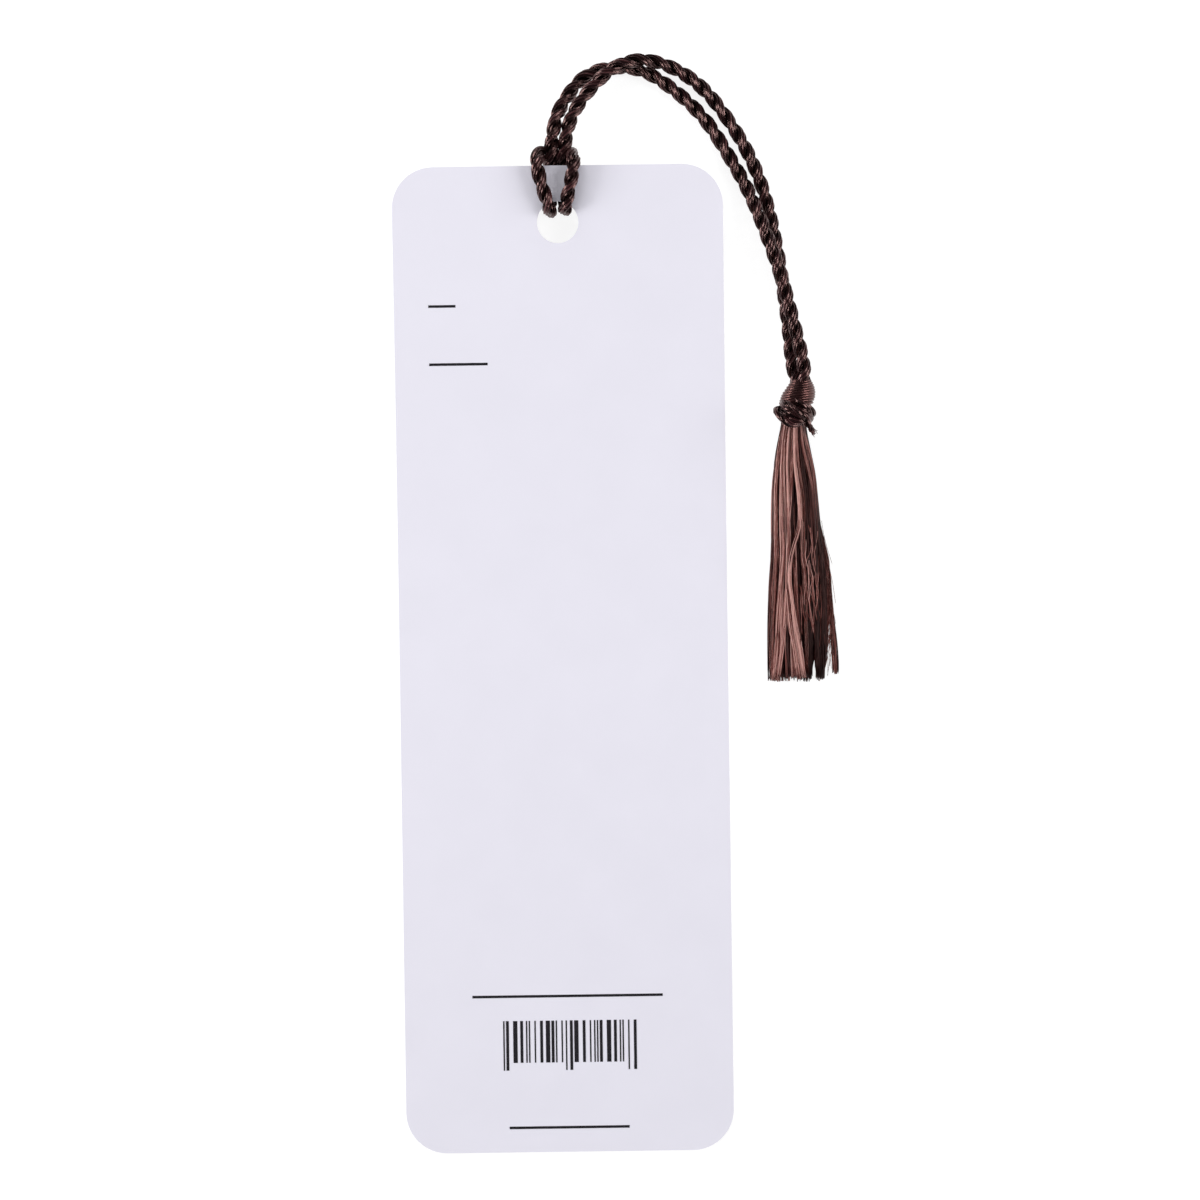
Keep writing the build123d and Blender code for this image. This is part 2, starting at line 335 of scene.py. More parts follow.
def piece_from_tubes(name, tubes, material):
    """Return one object made of closed tubes, each given by its rings, tones and yarn coordinates."""
    points, faces, yarn, tones = [], [], [], []
    first = 0
    for rings, tone, along, around in tubes:
        count, sides = rings.shape[:2]
        points.append(rings.reshape(-1, 3))
        tones.append(np.broadcast_to(tone, (count, sides)).reshape(-1))
        ring, side = np.meshgrid(np.arange(count - 1), np.arange(sides), indexing="ij")
        following = (side + 1) % sides
        here = first + ring * sides
        quads = np.stack(
            [here + side, here + following, here + sides + following, here + sides + side], axis=-1
        ).reshape(-1, 4)
        faces.extend(quads.tolist())
        u_low, u_high = along[ring], along[ring + 1]
        v_low, v_high = around[side], around[side + 1]
        corners = np.stack(
            [
                np.stack([u_low, v_low], axis=-1),
                np.stack([u_low, v_high], axis=-1),
                np.stack([u_high, v_high], axis=-1),
                np.stack([u_high, v_low], axis=-1),
            ],
            axis=2,
        )
        yarn.append(corners.reshape(-1, 2))
        last = first + (count - 1) * sides
        faces.append(list(range(first + sides - 1, first - 1, -1)))
        faces.append(list(range(last, last + sides)))
        yarn.append(np.tile([along[0], around[0]], (sides, 1)))
        yarn.append(np.tile([along[-1], around[0]], (sides, 1)))
        first += count * sides
    mesh = bpy.data.meshes.new(name)
    mesh.from_pydata(np.concatenate(points).tolist(), [], faces)
    mesh.uv_layers.new(name="yarn").data.foreach_set("uv", np.concatenate(yarn).astype(np.float32).ravel())
    mesh.attributes.new("tone", "FLOAT", "POINT").data.foreach_set(
        "value", np.concatenate(tones).astype(np.float32)
    )
    mesh.shade_smooth()
    mesh.materials.append(material)
    piece = bpy.data.objects.new(name, mesh)
    scene.collection.objects.link(piece)
    return piece


def reach_along(line):
    """Return the distance of each point along a line from its start, in millimetres."""
    return np.concatenate([[0], np.cumsum(np.linalg.norm(np.diff(line, axis=0), axis=1))]) / mm


def smooth_line(points, spacing):
    """Return evenly spaced points, in metres, along the NURBS line with these control points."""
    curve = bpy.data.curves.new("route", "CURVE")
    curve.dimensions = "3D"
    curve.resolution_u = 40
    spline = curve.splines.new("NURBS")
    spline.points.add(len(points) - 1)
    for place, point in zip(spline.points, points):
        place.co = (*(Vector(point) * mm), 1)
    spline.order_u = 3
    spline.use_endpoint_u = True
    holder = bpy.data.objects.new("route", curve)
    mesh = bpy.data.meshes.new_from_object(holder)
    line = np.array([vertex.co for vertex in mesh.vertices])
    bpy.data.meshes.remove(mesh)
    bpy.data.objects.remove(holder)
    bpy.data.curves.remove(curve)
    reach = reach_along(line)
    places = np.linspace(0, reach[-1], int(round(reach[-1] / spacing)) + 1)
    return np.stack([np.interp(places, reach, line[:, axis]) for axis in range(3)], axis=1)


def tangents_of(line):
    """Return the unit direction of a line at each of its points."""
    tangents = np.gradient(line, axis=0)
    return tangents / np.linalg.norm(tangents, axis=1)[:, None]


def carried_frames(line):
    """Return the two side directions along a line, carried along it without twist."""
    first_up = (0.3, 0.2, 0.93)
    tangents = tangents_of(line)
    normals = np.zeros_like(line)
    side = np.cross(tangents[0], first_up)
    for index, tangent in enumerate(tangents):
        side = side - tangent * np.dot(side, tangent)
        side /= np.linalg.norm(side)
        normals[index] = side
    return normals, np.cross(tangents, normals)


def slow_noise(count, step, size):
    """Return a smooth random row of values from about -size to size that turns every few steps."""
    spare_knots = 5
    knots = chance.uniform(-size, size, count // step + spare_knots)
    rough = np.interp(np.arange(count + 2 * step) / step, np.arange(len(knots)), knots)
    window = np.hanning(step + 2)
    return np.convolve(rough, window / window.sum(), "same")[step : step + count]


def twisted_plies(line, radius, lay, yarns, sides):
    """Return the tubes of a two-ply cord along a line, with yarns that lie in each ply."""
    # Section of a ply and of its yarns in shares of the radius, and the turn of the yarns in that of the lay
    ply_middle, ply_depth, ply_half_width, ply_inside = 0.46, 0.54, 0.72, -0.05
    yarn_core, yarn_rise, yarn_turn = 0.66, 0.34, 0.5
    # Tones in the grooves and on the crests, the grooves darker as painted shade, how much yarns differ, and
    # the painted shade where the plies meet
    painted_groove_tone, crest_tone_over_painted_grooves, yarn_difference = 0.05, 0.55, 0.2
    painted_inside_shade, painted_shade_turn, painted_deepest_shade = 0.25, 0.35, 0.02
    # Width of a ply for the yarn pattern, and its shift from one ply to the next
    pattern_width, pattern_shift = 0.6, 7.0
    normals, binormals = carried_frames(line)
    count = len(line)
    reach = reach_along(line)
    turn = tau * reach / lay + slow_noise(count, step=40, size=0.4)
    swell = 1 + slow_noise(count, step=24, size=0.04)
    phi = np.arange(sides) * tau / sides
    # Each ply is darker on the side where it meets the other ply: painted shade
    outside_share = (np.cos(phi) + painted_shade_turn) / (1 + painted_shade_turn)
    painted_ply_meeting_shade = np.clip(painted_inside_shade + (1 - painted_inside_shade) * outside_share, painted_deepest_shade, 1)
    tubes = []
    for ply in range(2):
        angle = turn + ply * pi
        outward = normals * np.cos(angle)[:, None] + binormals * np.sin(angle)[:, None]
        across = binormals * np.cos(angle)[:, None] - normals * np.sin(angle)[:, None]
        yarn_angle = yarns / 2 * (phi[None, :] + yarn_turn * turn[:, None] + ply)
        crest = np.abs(np.cos(yarn_angle))
        lobe = (yarn_core + yarn_rise * crest) * swell[:, None]
        out = np.maximum(ply_middle + ply_depth * np.cos(phi)[None, :] * lobe, ply_inside) * radius * mm
        aside = ply_half_width * np.sin(phi)[None, :] * lobe * radius * mm
        rings = (
            line[:, None, :]
            + outward[:, None, :] * out[..., None]
            + across[:, None, :] * aside[..., None]
        )
        yarn_number = np.floor(yarn_angle / pi + 0.5).astype(int) % yarns
        shades = chance.uniform(-yarn_difference, yarn_difference, yarns)
        # The tone is darker in the grooves and where the plies meet: painted shade
        tone = (painted_groove_tone + crest_tone_over_painted_grooves * crest + shades[yarn_number]) * painted_ply_meeting_shade[None, :]
        around = np.arange(sides + 1) * tau / sides * pattern_width * radius + pattern_shift * ply
        tubes.append((rings, tone, reach, around))
    return tubes


def cut_tubes(tubes, start, end):
    """Return the stretch of some tubes between two ring numbers."""
    return [
        (rings[start:end], tone[start:end], along[start:end], around)
        for rings, tone, along, around in tubes
    ]


def thread_tube(line, radius, tone, sides, up=(0.0, 0.0, 1.0)):
    """Return the tube of one thread along a line, thinner at its end."""
    tip_share = 0.55
    widest_shift = 60
    tangents = tangents_of(line)
    aside = np.cross(tangents, up)
    aside /= np.linalg.norm(aside, axis=1)[:, None]
    above = np.cross(aside, tangents)
    phi = -np.arange(sides) * tau / sides
    size = np.full(len(line), radius * mm)
    size[-1] *= tip_share
    rings = (
        line[:, None, :]
        + aside[:, None, :] * (np.cos(phi)[None, :] * size[:, None])[..., None]
        + above[:, None, :] * (np.sin(phi)[None, :] * size[:, None])[..., None]
    )
    around = np.arange(sides + 1) * tau / sides * radius + chance.uniform(0, widest_shift)
    shade = np.broadcast_to(np.reshape(tone, (-1, 1)), (len(line), sides))
    return rings, shade, reach_along(line), around


card_finish = coated_card_material()
ink_finish = printing_ink_material()
cord_finish = rayon_material(
    "rayon_cord",
    ((0, "#060304"), (0.3, "#190c0e"), (0.6, "#391f21"), (1, "#744b4c")),
    roughness=0.18,
    shine=0.95,
    glint="#ffcac3",
    fleck=0.2,
)
wound_finish = rayon_material(
    "rayon_floss_wound",
    ((0, "#080304"), (0.35, "#170b0d"), (0.65, "#2b1719"), (1, "#523233")),
    roughness=0.28,
    shine=0.95,
    glint="#ffb8b0",
    fleck=0.2,
    ior=1.7,
)
floss_finish = rayon_material(
    "rayon_floss",
    ((0, "#190605"), (0.3, "#4a1c17"), (0.6, "#86504a"), (1, "#d0a098")),
    roughness=0.27,
    shine=0.75,
    glint="#ffd0c6",
    fleck=0.4,
)
inner_floss_finish = rayon_material(
    "rayon_floss_inner",
    ((0, "#170a0b"), (0.3, "#3f2221"), (0.6, "#86504a"), (1, "#d0a098")),
    roughness=0.4,
    shine=0.3,
    glint="#ffd0c6",
    fleck=0.3,
)
table_finish = white_table_material()

# Card: the CAD sheet with its finish
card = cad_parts["card"]
card.data.materials.clear()
card.data.materials.append(card_finish)


def face_height(y):
    """Return the height of the card's upper face at a distance along the card."""
    reach = lift_radius - card_thickness
    angle = asin(max(0, y - bend_y) / reach)
    return lift_radius - reach * cos(angle)


def ink_marks(name, patches):
    """Add a piece of thin ink patches on the card, each given by its x and y limits."""
    film, clearance = 0.03, 0.001
    points, faces = [], []
    for left, right, low, high in patches:
        first = len(points)
        for lift in (0.0, film):
            for x, y in ((left, low), (right, low), (right, high), (left, high)):
                points.append(Vector((x, y, face_height(y) + clearance + lift)) * mm)
        corners = [first + corner for corner in range(8)]
        faces.append([corners[k] for k in (3, 2, 1, 0)])
        faces.append([corners[k] for k in (4, 5, 6, 7)])
        for k in range(4):
            following = (k + 1) % 4
            faces.append([corners[k], corners[following], corners[following + 4], corners[k + 4]])
    mesh = bpy.data.meshes.new(name)
    mesh.from_pydata(points, [], faces)
    mesh.materials.append(ink_finish)
    piece = bpy.data.objects.new(name, mesh)
    scene.collection.objects.link(piece)
    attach(piece, "card")


def printed_rule(left, right, low):
    """Return the limits of a thin printed rule."""
    rule_height = 0.4
    return left, right, low, low + rule_height


# Print: two short rules near the hole, two long ones at the foot and, between these, a plain block of bars
# with widths from a counting rule
ink_marks("name_rules", [printed_rule(-20.1, -15.9, 54.7), printed_rule(-20.1, -11.1, 45.8)])
ink_marks("foot_rules", [printed_rule(-14.9, 14.6, -52.1), printed_rule(-9.4, 9.2, -72.5)])
bar_module = 0.22
guard_drop = 1.2
bar_left, bar_right, bar_low, bar_high = -10.2, 10.7, -62.2, -55.7
bar_places = []
bar_x = bar_left
while bar_x + 2 * bar_module < bar_right:
    number = len(bar_places)
    width = (1 + (number * number + number // 2) % 3) * bar_module
    bar_places.append((bar_x, bar_x + width))
    bar_x += width + (1 + (2 * number + number // 3) % 3) * bar_module
middle_bar = len(bar_places) // 2
guard_bars = (0, 1, middle_bar - 1, middle_bar, len(bar_places) - 2, len(bar_places) - 1)
ink_marks(
    "bar_block",
    [
        (left, right, bar_low - guard_drop if number in guard_bars else bar_low, bar_high)
        for number, (left, right) in enumerate(bar_places)
    ],
)

# Cord: one unbroken length, twisted through from the left leg's end to the right leg's, then cut where the
# hitch becomes the legs. Each leg stops a few points before the end of its route, inside the head.
leg_spacing = 0.22
hitch_spacing = 0.2
hidden_points = 8
left_line = smooth_line(left_leg_route, leg_spacing)[:-hidden_points]
hitch_line = smooth_line(hitch_route, hitch_spacing)
right_line = smooth_line(right_leg_route, leg_spacing)[:-hidden_points]
whole_line = np.concatenate([left_line[::-1], hitch_line[1:-1], right_line])
cord_tubes = twisted_plies(whole_line, cord_radius, cord_lay, yarns=7, sides=70)
left_count = len(left_line)
hitch_end = left_count + len(hitch_line) - 2
rope_left, rope_hitch, rope_right = (
    piece_from_tubes(name, cut_tubes(cord_tubes, start, end), cord_finish)
    for name, start, end in (
        ("cord_left_rope", 0, left_count),
        ("cord_hitch_rope", left_count - 1, hitch_end + 1),
        ("cord_right_rope", hitch_end, len(whole_line)),
    )
)
for piece, node, line in (
    (rope_left, "cord_leg_left", left_line),
    (rope_right, "cord_leg_right", right_line),
):
    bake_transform(piece)
    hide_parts(node)
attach(rope_hitch, "hitch")
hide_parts("cord_hitch")

# Head: floss wound on the cord's ends in slightly rising turns over a bulb of the same floss. It leans
# towards the cord.
head_reach = np.array((2.3, 1.9, 1.55, 1.0, 0.35, -0.3, -0.9, -1.5, -2.2, -4.4))
head_girth = np.array((1.3, 1.58, 1.8, 2.15, 2.45, 2.6, 2.64, 2.5, 1.9, 1.3))
lean_reach = (-1.5, -0.9, 0.35, 1.2, 2.3)
lean_x = (-0.08, 0.0, 0.24, 0.45, 0.6)
head_rise = 0.14
rise_reach = -1.2
wind_low = -2.6
wind_pitch = 0.38
wind_radius = 0.21
wind_proud = 0.15
wind_base_tone = 0.24
steps_per_turn = 44
bulb_sides = 48
bulb_ring_count = 40
bulb_sunk = 0.12
bulb_tone = 0.1
bulb_side_width = 0.33


def head_point(reach, angle, lift):
    """Return a place on the head by its reach along the axis, its angle round it and a lift off it."""
    girth = np.interp(-reach, -head_reach, head_girth) + lift
    fade = np.interp(reach, (wind_low, rise_reach), (0, 1))
    lean = np.interp(reach, lean_reach, lean_x)
    x = girth * np.cos(angle)
    return np.stack(
        [head_x + lean + x, head_y + reach + head_rise * x * fade, head_z + girth * np.sin(angle)], axis=-1
    ) * mm


bulb_angles = np.arange(bulb_sides) * tau / bulb_sides
bulb_reach = np.linspace(head_reach[-1], head_reach[0], bulb_ring_count)
bulb_rings = head_point(bulb_reach[:, None], -bulb_angles[None, :], -bulb_sunk)
bulb = (bulb_rings, bulb_tone, bulb_reach, np.arange(bulb_sides + 1) * bulb_side_width)
turns = (head_reach[0] - wind_low) / wind_pitch
wind_steps = int(turns * steps_per_turn)
wind_angle = np.linspace(0, turns * tau, wind_steps)
wind_reach = head_reach[0] - wind_pitch * wind_angle / tau
wind_lift = slow_noise(wind_steps, step=14, size=0.03) + wind_proud - wind_radius
wind_tone = wind_base_tone + slow_noise(wind_steps, step=26, size=0.3)
wind = thread_tube(
    head_point(wind_reach, wind_angle, wind_lift), wind_radius, wind_tone, sides=12, up=(0.0, 1.0, 0.0)
)
head = piece_from_tubes("tassel_head_floss", [bulb, wind], wound_finish)
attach(head, "tassel")
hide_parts("tassel_head")

# Neck tie: a thin two-ply strand wound three times under the head. Two lengths of it cross over the turns
# to the right, another rolls over them at the left, and the end comes out below as a frayed tail. Each place
# round the neck has an angle in degrees, a reach and a girth.
tie_radius = 0.57
tail_radius = 0.55
tie_lay = 6.5
tie_spacing = 0.12


def tie_route(*places):
    """Return the points of a route round the neck."""
    return [
        (head_x + girth * cos(radians(angle)), head_y + reach, head_z + girth * sin(radians(angle)))
        for angle, reach, girth in places
    ]


coil_route = tie_route(
    (20, -2.1, 2.0), (-35, -2.1, 2.1), (-90, -2.0, 2.2), (-140, -1.85, 2.2), (180, -1.75, 2.35),
    (145, -1.9, 2.45), (110, -2.2, 2.45), (75, -2.55, 2.4), (40, -2.9, 2.35), (5, -3.1, 2.4),
    (-35, -3.0, 2.25), (-90, -2.85, 2.2), (-140, -2.7, 2.25), (180, -2.65, 2.6), (145, -2.8, 2.6),
    (110, -3.05, 2.5), (75, -3.4, 2.4), (40, -3.65, 2.2), (5, -3.7, 2.1), (-35, -3.6, 2.1),
    (-90, -3.5, 2.1), (-140, -3.4, 2.15), (180, -3.45, 2.3), (145, -3.7, 2.35), (110, -4.0, 2.3),
    (75, -4.05, 2.15), (40, -3.95, 2.0), (5, -3.9, 1.95), (-40, -3.9, 1.9),
)
cross_route = tie_route(
    (178, -1.3, 2.1), (150, -1.15, 2.5), (125, -1.5, 2.85), (104, -2.2, 3.0),
    (86, -2.9, 2.95), (66, -3.6, 2.7), (46, -4.0, 2.3), (20, -4.0, 1.9),
)
ear_route = tie_route(
    (112, -0.9, 2.2), (88, -1.25, 2.65), (62, -1.9, 2.75), (36, -2.55, 2.65),
    (8, -2.95, 2.42), (-18, -3.05, 2.25), (-50, -3.0, 2.1),
)
roll_route = tie_route(
    (-140, -1.9, 2.2), (-176, -2.1, 3.2), (164, -2.6, 3.5), (142, -3.6, 3.15),
    (120, -4.6, 2.8), (98, -4.75, 2.3), (72, -4.0, 1.6),
)
tail_route = tie_route((75, -3.7, 2.0), (52, -4.2, 2.25)) + [
    (head_x + 1.65, head_y - 4.8, head_z + 1.5),
    (head_x + 2.15, head_y - 5.5, head_z + 1.05),
]
tie_tubes = []
for route, radius in (
    (coil_route, tie_radius),
    (cross_route, tie_radius),
    (ear_route, tie_radius),
    (roll_route, tie_radius),
    (tail_route, tail_radius),
):
    tie_tubes += twisted_plies(smooth_line(route, tie_spacing), radius, tie_lay, yarns=5, sides=40)
# Fibres of the frayed end begin inside the tail and splay out of it
tail_fibres = 46
root_depth = 0.6
root_spread = 0.2
splay_spread = 0.18
fibre_steps = np.linspace(0, 1, 7)[:, None]
tail_end = np.array(tail_route[-1])
tail_way = tail_end - np.array(tail_route[-2])
tail_way /= np.linalg.norm(tail_way)
for fibre in range(tail_fibres):
    splay = chance.normal(0, splay_spread, 3)
    root = tail_end - tail_way * root_depth + chance.normal(0, root_spread, 3)
    fibre_length = chance.uniform(0.8, 1.5)
    fibre_line = root + tail_way * fibre_steps * fibre_length + splay * fibre_steps**2
    tie_tubes.append(thread_tube(fibre_line * mm, radius=0.05, tone=chance.uniform(0.3, 0.9), sides=5))
tie = piece_from_tubes("neck_tie_strand", tie_tubes, cord_finish)
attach(tie, "tassel")
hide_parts("neck_tie")

# Skirt: fine threads, which spread from the neck, lie down on the table and part at the end. Duller inner
# strands fill its body, and bright locks lie on them. Its edges and levels are given by share of its length.
skirt_start = -4.3
skirt_end = -44.0
skirt_shares = (0, 0.03, 0.075, 0.152, 0.23, 0.385, 0.5, 0.617, 0.694, 0.777, 0.85, 0.93, 1)
skirt_left = (-2.1, -2.45, -2.8, -3.45, -3.8, -4.05, -4.18, -4.42, -4.5, -4.55, -4.6, -4.7, -4.7)
skirt_right = (1.1, 1.3, 1.55, 2.3, 2.65, 3.1, 3.75, 4.2, 4.3, 4.3, 4.25, 4.0, 3.75)
skirt_low = (1.6, 1.4, 1.0, 0.6, 0.35, 0.2, 0.2, 0.2, 0.2, 0.2, 0.2, 0.2, 0.2)
skirt_high = (4.6, 4.5, 4.3, 3.95, 3.7, 3.35, 3.05, 2.8, 2.65, 2.5, 2.4, 2.25, 2.1)
thread_steps = 29
steps = np.linspace(-0.03, 1, thread_steps)
thread_sides = 4
table_clearance = 0.1


def eased(shares, start, end):
    """Return a smooth rise from 0 to 1 between two shares."""
    rise = np.clip((shares - start) / (end - start), 0, 1)
    return rise * rise * (3 - 2 * rise)


def skirt_row(places, values, shares):
    """Return a value given at some shares of the skirt's length at other shares, without corners."""
    fine_count, half_window = 241, 10
    fine = np.linspace(-0.1, 1.1, fine_count)
    window = np.hanning(2 * half_window + 1)
    padded = np.pad(np.interp(fine, places, values), half_window, "edge")
    return np.interp(shares, fine, np.convolve(padded, window / window.sum(), "valid"))


def skirt_edges(shares):
    """Return the skirt's left and right edges at some shares of its length."""
    return skirt_row(skirt_shares, skirt_left, shares), skirt_row(skirt_shares, skirt_right, shares)


def skirt_levels(shares):
    """Return the skirt's underside and top at some shares of its length."""
    return skirt_row(skirt_shares, skirt_low, shares), skirt_row(skirt_shares, skirt_high, shares)


def skirt_crown(place):
    """Return the skirt's height at a place from 0 to 1 across it, as a share of its height in the middle."""
    fall, lowest = 1.9, 0.08
    return np.sqrt(np.clip(1 - ((place - 0.5) * fall) ** 2, lowest, 1))


def skirt_line(x, shares, z):
    """Return a line, in metres, by its places across the skirt, shares of the skirt's length and heights."""
    y = skirt_start + (skirt_end - skirt_start) * shares
    return np.stack([head_x + x, head_y + y, z], axis=1) * mm


def parted(even, shares):
    """Return where a place from 0 to 1 across the skirt lies, with the strands parting at the end."""
    part_places, part_shifts = (0.6, 0.808, 0.812, 1), (0, -0.075, 0.065, 0)
    part_start, part_end = 0.84, 0.98
    return even + np.interp(even, part_places, part_shifts) * eased(shares, part_start, part_end)


def strand_threads(middle_x, level, half_width, length, tone, threads, radius):
    """Return the threads of one strand, by its place, level, half width and tone along it."""
    # Threads of a strand spread more towards its end; painted light makes them lighter above and painted
    # shade darker at its sides
    root_fuzz, end_fuzz, fuzz_power = 0.05, 0.8, 1.5
    painted_top_light, painted_side_shade = 0.12, 0.1
    shares = steps * length
    fuzziness = root_fuzz + end_fuzz * np.clip(steps, 0, 1) ** fuzz_power
    left, right = skirt_edges(shares)
    low, high = skirt_levels(shares)
    crown = skirt_crown((middle_x - left) / (right - left))
    middle_z = low + (high - low) * (0.5 * (0.5 + 0.5 * crown) + (level - 0.5) * crown)
    twist = chance.uniform(0, tau)
    lay_turn = chance.uniform(2, 8)
    tubes = []
    for thread in range(threads):
        own_turn = chance.uniform(-0.8, 0.8)
        spot = twist + tau * thread / threads + steps * (lay_turn + own_turn)
        out = np.sqrt(chance.uniform(0.05, 1.1))
        fuzz = slow_noise(thread_steps, step=4, size=0.26) * fuzziness
        x = middle_x + half_width * out * np.cos(spot) + fuzz
        z = np.maximum(middle_z + half_width * out * np.sin(spot), table_clearance)
        own_length = 1 + chance.uniform(-0.012, 0.008)
        own_tone = 1 + (chance.normal(0, 0.2) + slow_noise(thread_steps, step=5, size=0.15))
        # Tone, with painted light above and painted shade at the sides of the strand
        shade = tone * own_tone + painted_top_light * np.sin(spot) - painted_side_shade * out * np.cos(spot) ** 2
        own_radius = radius * chance.uniform(0.8, 1.2)
        tubes.append(thread_tube(skirt_line(x, shares * own_length, z), own_radius, shade, thread_sides))
    return tubes


# Inner strands lie in two layers. Each has its lowest and highest level, its tones at the left and the right,
# and how much its strands differ. The right tone is darker as painted shade across the skirt.
inner_strands = 22
inner_layers = ((0.08, 0.3, 0.5, 0.4, 2.5), (0.45, 0.72, 0.17, 0.02, 1))
painted_side_shade_places = (0.45, 0.65)
settled_share = 0.55
bow_speed = 1.15
bow = np.sin(pi * np.clip(steps * bow_speed, 0, 1))
inner_tubes = []
for bottom, top, painted_lit_left_tone, painted_shaded_right_tone, difference in inner_layers:
    for strand in range(inner_strands):
        even = (strand + 0.5 + chance.uniform(-0.3, 0.3)) / inner_strands
        start_even = np.clip(even + chance.normal(0, 0.04), 0.03, 0.97)
        across = start_even + (even - start_even) * eased(steps, 0, settled_share)
        across = across + slow_noise(thread_steps, step=7, size=0.03) * bow
        length = chance.uniform(0.975, 1.0)
        place = np.clip(parted(across, steps * length), 0.02, 0.98)
        left, right = skirt_edges(steps * length)
        level = chance.uniform(bottom, top) + slow_noise(thread_steps, step=9, size=0.08)
        # Tone runs from the left to the right one, darker to the right as painted shade
        tone = np.interp(even, painted_side_shade_places, (painted_lit_left_tone, painted_shaded_right_tone)) + difference * chance.uniform(-0.06, 0.1)
        middle_x = left + (right - left) * place
        inner_tubes += strand_threads(
            middle_x, level, half_width=0.33, length=length, tone=tone, threads=11, radius=0.095
        )
# Locks on top, each with its tones at the neck, the middle and the end, its half widths at both ends, its
# yarns, its length and its level, then its places across the skirt by share of the length. The left ones
# are light all along and the right ones dark from the middle on, as painted light and shade across the
# skirt; one crosses the middle and the last lies apart.
# Dull locks take the inner strands' finish.
tone_shares = (0.1, 0.42, 0.85)
width_shares = (0.1, 0.9)
dull_tone = 0.3
lock_tone = 0.94
lock_fill = 0.85
lock_droop = 0.06
# The yarns of a lock differ in tone, and the darkest stand in as painted shade of the gaps between them
yarn_tones_and_painted_gap_shade = (0.18, -0.6, 0.24, -0.2)
locks = (
    ((0.6, 0.64, 0.56), (0.22, 0.32), 4, 0.99, 0.95,
     ((0, -1.9), (0.035, -2.4), (0.154, -3.1), (0.272, -3.45), (0.5, -3.5), (0.66, -3.8), (0.78, -4.15),
      (1, -4.45))),
    ((0.74, 0.8, 0.7), (0.34, 0.5), 7, 0.995, 1.0,
     ((0, -1.5), (0.035, -1.95), (0.154, -2.4), (0.5, -2.42), (0.66, -2.97), (0.78, -3.26), (0.88, -3.35),
      (1, -3.9))),
    ((0.72, 0.78, 0.63), (0.24, 0.34), 5, 0.98, 1.0,
     ((0, -1.05), (0.035, -1.4), (0.154, -1.75), (0.272, -1.62), (0.5, -1.52), (0.66, -2), (0.78, -2.35),
      (1, -3.3))),
    ((0.7, 0.6, 0.12), (0.22, 0.24), 3, 0.98, 0.98,
     ((0, -0.75), (0.035, -1.0), (0.154, -1.15), (0.272, -0.93), (0.39, -0.93), (0.6, -0.6), (1, 0.2))),
    ((0.4, 0.56, 0.73), (0.15, 0.34), 5, 0.99, 1.02,
     ((0, -0.6), (0.3, -1.2), (0.5, -1.7), (0.66, -1.84), (0.78, -1.5), (0.88, -0.85), (1, -0.1))),
    ((0.1, 0.06, 0.66), (0.15, 0.72), 4, 0.985, 1.0,
     ((0, -0.5), (0.5, -1.3), (0.8, -1.7), (0.9, -1.68), (1, -1.4))),
    ((0.76, 0.62, 0.06), (0.24, 0.28), 4, 0.98, 1.0,
     ((0, -0.2), (0.035, -0.4), (0.154, -0.04), (0.272, 0.63), (0.33, 0.8), (0.5, 0.67), (0.65, 0.9),
      (1, 1.2))),
    ((0.12, 0.1, -0.06), (0.2, 0.42), 4, 0.99, 0.96,
     ((0, 0.1), (0.154, 0.55), (0.272, 1.2), (0.4, 1.45), (0.6, 1.7), (0.85, 1.65), (1, 1.35))),
    ((0.76, 0.16, -0.08), (0.26, 0.34), 5, 0.98, 1.0,
     ((0, 0.3), (0.035, 0.3), (0.09, 0.62), (0.14, 1.09), (0.2, 1.77), (0.27, 2.2), (0.6, 2.7), (0.85, 2.7),
      (1, 3.0))),
    ((0.34, 0.14, -0.04), (0.2, 0.36), 4, 0.985, 0.92,
     ((0, 0.5), (0.154, 1.6), (0.27, 1.75), (0.4, 2.1), (0.6, 2.3), (0.85, 2.5), (1, 2.95))),
    ((0.64, 0.16, 0.0), (0.26, 0.34), 4, 0.98, 0.95,
     ((0, 0.7), (0.035, 0.9), (0.09, 1.4), (0.154, 2.15), (0.27, 2.7), (0.4, 3.0), (0.6, 3.6), (0.78, 3.75),
      (1, 3.4))),
    ((0.75, 1.05, 0.9), (0.17, 0.22), 5, 0.985, 1.16,
     ((0, -0.45), (0.035, -0.65), (0.154, -0.6), (0.272, 0.01), (0.36, 0.22), (0.41, 0.1), (0.45, -0.49),
      (0.5, -1.15), (0.54, -1.43), (0.6, -1.6), (0.66, -1.31), (0.78, -0.78), (0.88, 0), (1, 0.7))),
    ((0.2, 0.12, 0.42), (0.2, 0.5), 10, 0.972, 0.6,
     ((0, 1.0), (0.2, 2.5), (0.4, 3.1), (0.5, 3.86), (0.54, 4.19), (0.66, 4.75), (0.78, 5.13), (0.93, 5.45),
      (1, 5.5))),
)
skirt_tubes = []
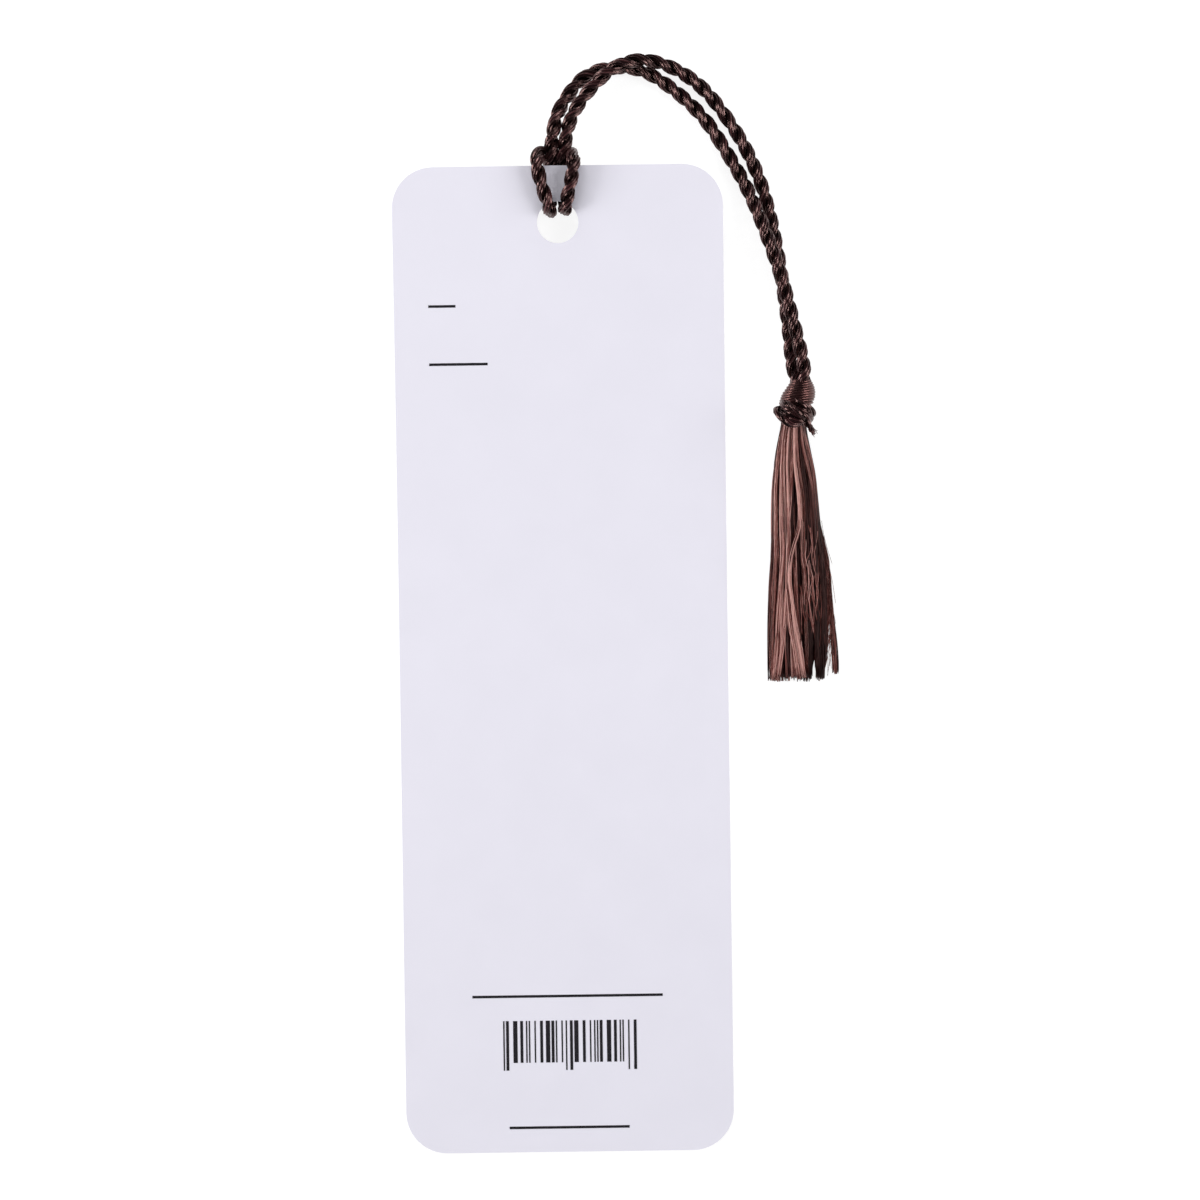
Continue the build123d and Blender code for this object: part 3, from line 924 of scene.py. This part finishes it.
for tones, widths, yarns, length, level, route in locks:
    route_shares, route_x = zip(*route)
    lock_tubes = inner_tubes if tones[1] < dull_tone else skirt_tubes
    lock_x = skirt_row(route_shares, route_x, steps * length)
    lock_width = np.interp(steps, width_shares, widths)
    # Tone along the lock, holding its painted light or shade
    tone = np.interp(steps, tone_shares, tones)
    for yarn in range(yarns):
        across = 2 * (yarn + 0.5) / yarns - 1 + slow_noise(thread_steps, step=5, size=0.5)
        yarn_tone_and_painted_gap_shade = yarn_tones_and_painted_gap_shade[yarn % len(yarn_tones_and_painted_gap_shade)] + chance.normal(0, 0.1)
        yarn_tone_and_painted_gap_shade = yarn_tone_and_painted_gap_shade + slow_noise(thread_steps, step=5, size=0.3)
        yarn_level = level - lock_droop * across**2 + slow_noise(thread_steps, step=6, size=0.08)
        lock_tubes += strand_threads(
            lock_x + lock_fill * lock_width * across,
            yarn_level,
            half_width=0.11,
            length=length,
            tone=tone * (lock_tone + yarn_tone_and_painted_gap_shade),
            threads=6,
            radius=0.06,
        )
# Crimped threads lie loose on the dark right half, and dip into it at both ends
crimped_threads = 26
crimp_steps = 18
edge_level = 0.25
dip_depth = 0.8
crimp_dip = dip_depth * (1 - np.sqrt(np.sin(np.linspace(0, pi, crimp_steps)).clip(0)))
for thread in range(crimped_threads):
    shares = chance.uniform(0.36, 0.66) + np.linspace(0, 1, crimp_steps) * chance.uniform(0.1, 0.24)
    left, right = skirt_edges(shares)
    low, high = skirt_levels(shares)
    middle_x = chance.uniform(0.4, 3.1)
    slant = np.linspace(-0.5, 0.5, crimp_steps) * chance.normal(0.2, 0.5)
    x = middle_x + slant + slow_noise(crimp_steps, step=3, size=0.28)
    crown = skirt_crown((x - left) / (right - left))
    crown_z = low + (high - low) * (edge_level + (1 - edge_level) * crown)
    line = skirt_line(x, shares, crown_z + chance.uniform(0.2, 0.45) - crimp_dip)
    tone = chance.uniform(0.3, 0.9)
    skirt_tubes.append(thread_tube(line, radius=0.05, tone=tone, sides=thread_sides))
# Stray fibres leave the strands, most of them on the loose right side
stray_fibres = 90
stray_steps = 14
stray_shares = np.linspace(0, 1, stray_steps)
rightmost = 1.1
stray_lift = 0.2
stray_crown = 0.72
for fibre in range(stray_fibres):
    shares = chance.uniform(0.38, 0.8) + stray_shares * chance.uniform(0.12, 0.22)
    place = rightmost - chance.uniform(0, 1) ** 2 + stray_shares**2 * chance.normal(0.01, 0.05)
    left, right = skirt_edges(shares)
    top = skirt_levels(shares)[1] * (edge_level + stray_crown * skirt_crown(place))
    z = stray_lift + top * chance.uniform(0.8, 1)
    x = left + (right - left) * place + slow_noise(stray_steps, step=4, size=0.15)
    tone = chance.uniform(0.12, 0.6)
    skirt_tubes.append(thread_tube(skirt_line(x, shares, z), radius=0.032, tone=tone, sides=thread_sides))
skirt = piece_from_tubes("tassel_skirt_threads", skirt_tubes, floss_finish)
inner_skirt = piece_from_tubes("tassel_skirt_inner", inner_tubes, inner_floss_finish)
for piece in (skirt, inner_skirt):
    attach(piece, "tassel")
    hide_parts("tassel_skirt")

# Table, just under the object
table_reach = 2000
table_z = -0.1
table_corners = [
    Vector((x * table_reach, y * table_reach, table_z)) * mm
    for x, y in ((-1, -1), (1, -1), (1, 1), (-1, 1))
]
table = bpy.data.objects.new("table", bpy.data.meshes.new("table"))
table.data.from_pydata(table_corners, [], [(0, 1, 2, 3)])
table.data.materials.append(table_finish)
scene.collection.objects.link(table)

# Light: two softboxes, which show in gloss, fills around them that don't, and a faint even light. Places and
# sizes are in metres.
world = bpy.data.worlds.new("studio")
world.use_nodes = True
world.node_tree.nodes["Background"].inputs["Color"].default_value = (1, 1, 1, 1)
world.node_tree.nodes["Background"].inputs["Strength"].default_value = 0.05
scene.world = world
for name, place, power, width, height, in_gloss in (
    ("softbox_left", (-0.66, -0.02, 0.27), 3.2, 0.3, 0.3, True),
    ("softbox_right", (0.6, 0.1, 0.42), 3.4, 0.28, 0.54, True),
    ("fill_left", (-0.6, -0.12, 0.5), 1.4, 0.5, 0.5, False),
    ("fill_back", (-0.1, 0.6, 0.45), 2.7, 0.5, 0.5, False),
    ("fill_front", (0.1, -0.6, 0.45), 0.5, 0.5, 0.5, False),
):
    light = bpy.data.lights.new(name, "AREA")
    light.energy = power
    light.shape = "RECTANGLE"
    light.size = width
    light.size_y = height
    lamp = bpy.data.objects.new(name, light)
    lamp.location = place
    lamp.visible_glossy = in_gloss
    lamp.rotation_euler = (-Vector(place)).to_track_quat("-Z", "Y").to_euler()
    scene.collection.objects.link(lamp)

# The camera looks down a degree off the vertical, and its place and turn fit the card's edges
camera = bpy.data.objects.new("camera", bpy.data.cameras.new("camera"))
camera.data.lens = 100
camera.data.sensor_width = 36
camera.location = Vector((5.83, 18.11, 515.85)) * mm
camera.rotation_euler = (radians(-0.97), 0, radians(-0.78))
scene.collection.objects.link(camera)
scene.camera = camera
